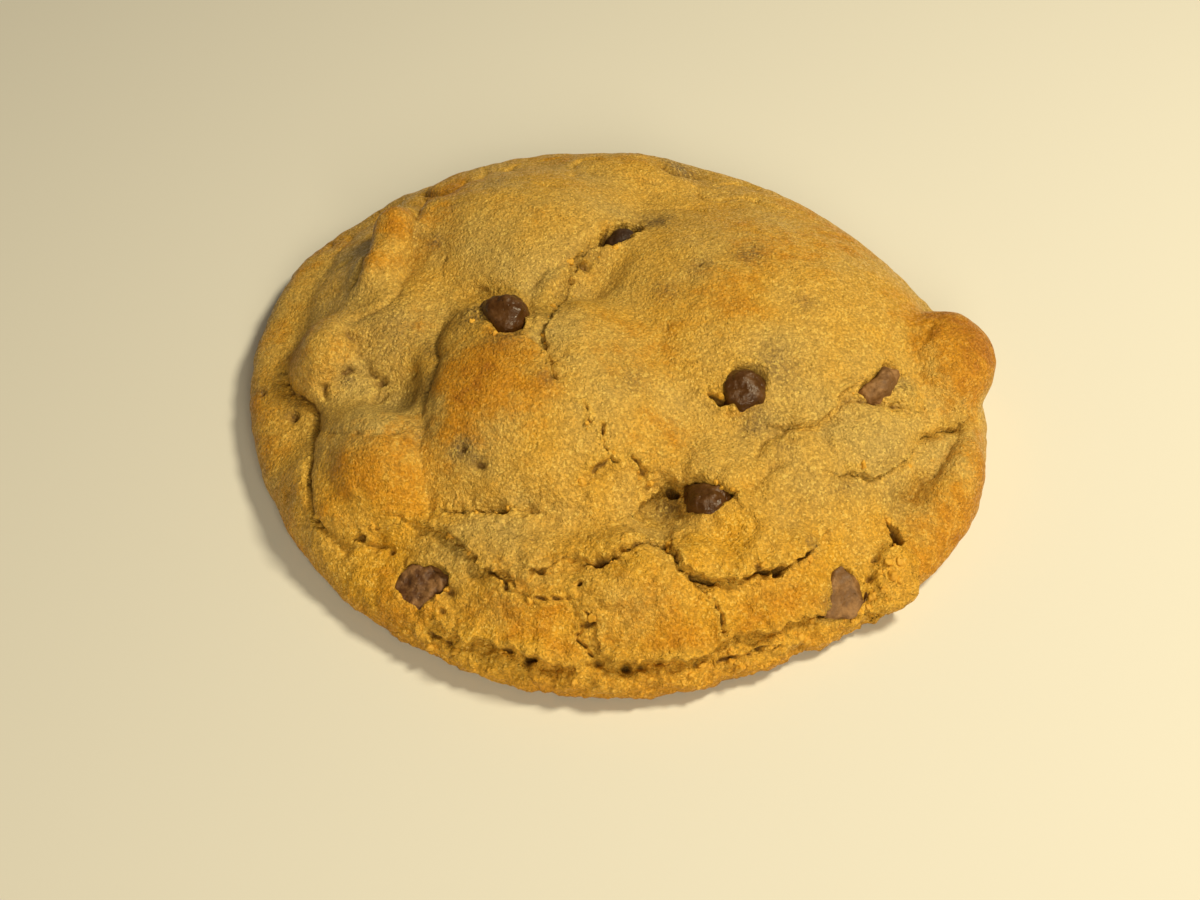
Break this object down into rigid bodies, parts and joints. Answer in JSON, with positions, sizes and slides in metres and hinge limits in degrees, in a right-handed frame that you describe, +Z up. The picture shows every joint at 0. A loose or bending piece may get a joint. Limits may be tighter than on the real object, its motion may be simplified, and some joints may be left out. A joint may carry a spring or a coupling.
{
  "type": "chocolate chip cookie",
  "caption": "Large thick baked cookie with a flat underside, a thin rim, a high lumpy cracked top and chocolate chips half sunk in it.",
  "frame": {"origin": "middle of the cookie's outline as seen from above, on the flat baked underside", "axes": "+Z up through the mound; +X towards the round knob of dough, on the right in the picture; -Y towards the cracked front that faces the viewer"},
  "size_m": [0.1114, 0.109, 0.0233],
  "materials": {
    "dough": "dry sandy baked crumb, golden brown, toasted on the high spots",
    "chocolate": "milk chocolate that melted a little and set again, satin"
  },
  "bodies": {
    "root": {"dough": "dough", "chip_upper_left": "chocolate", "chip_in_hollow": "chocolate", "chip_centre": "chocolate", "chip_under_fold": "chocolate", "chip_front_left": "chocolate", "chip_front_right": "chocolate", "chip_right": "chocolate"}
  },
  "joints": []
}
